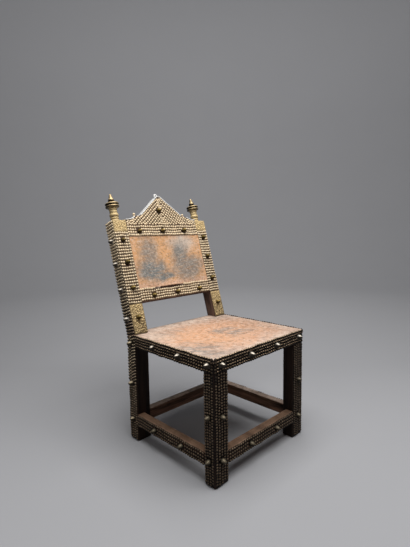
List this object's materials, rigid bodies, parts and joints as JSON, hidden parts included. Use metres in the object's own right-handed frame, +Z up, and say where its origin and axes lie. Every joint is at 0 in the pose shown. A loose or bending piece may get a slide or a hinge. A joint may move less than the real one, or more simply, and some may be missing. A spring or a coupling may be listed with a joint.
{
  "type": "asipim chair",
  "caption": "Low hardwood chair with a raked back, stretched hide seat and back, rows of brass tacks and domed bosses, turned finials and a gabled crest.",
  "frame": {"origin": "on the floor, at the middle of the chair's overall box", "axes": "+Z up, -Y the way the sitter faces, +X the sitter's left"},
  "size_m": [0.507, 0.6008, 0.9227],
  "materials": {
    "frame_wood": "dark worn hardwood, hand finished",
    "tack_brass": "aged domed tack heads, bright on top and dark between",
    "sheet_brass": "embossed sheet, aged",
    "turned_brass": "turned and ringed, aged",
    "edging_metal": "bright white metal strip",
    "seat_leather": "worn tan hide with pale edges and stains",
    "back_leather": "worn orange-tan hide with grey-blue patches"
  },
  "bodies": {
    "root": {"front_seat_rail": "frame_wood", "rear_seat_rail": "frame_wood", "front_stretcher": "frame_wood", "rear_stretcher": "frame_wood", "lower_back_rail": "frame_wood", "crest_rail": "frame_wood", "front_leg_right": "frame_wood", "rear_post_right": "frame_wood", "side_seat_rail_right": "frame_wood", "side_stretcher_right": "frame_wood", "front_leg_left": "frame_wood", "rear_post_left": "frame_wood", "side_seat_rail_left": "frame_wood", "side_stretcher_left": "frame_wood", "crest_tacks": "tack_brass", "lower_rail_tacks": "tack_brass", "front_rail_tacks": "tack_brass", "front_stretcher_tacks": "tack_brass", "front_leg_front_tacks_right": "tack_brass", "front_leg_side_tacks_right": "tack_brass", "rear_leg_side_tacks_right": "tack_brass", "side_rail_tacks_right": "tack_brass", "side_stretcher_tacks_right": "tack_brass", "stile_front_tacks_right": "tack_brass", "stile_side_tacks_right": "tack_brass", "front_leg_front_tacks_left": "tack_brass", "front_leg_side_tacks_left": "tack_brass", "rear_leg_side_tacks_left": "tack_brass", "side_rail_tacks_left": "tack_brass", "side_stretcher_tacks_left": "tack_brass", "stile_front_tacks_left": "tack_brass", "stile_side_tacks_left": "tack_brass", "stile_top_plate_right": "sheet_brass", "stile_top_plate_left": "sheet_brass", "stile_foot_plate_right": "sheet_brass", "stile_foot_plate_left": "sheet_brass", "finial_right": "turned_brass", "finial_left": "turned_brass", "crest_knob_right": "turned_brass", "crest_knob_left": "turned_brass", "gable_edging_right": "edging_metal", "gable_edging_left": "edging_metal", "shoulder_edging_right": "edging_metal", "shoulder_edging_left": "edging_metal", "apex_eyelet": "edging_metal", "seat_hide": "seat_leather", "back_hide": "back_leather"}
  },
  "joints": []
}
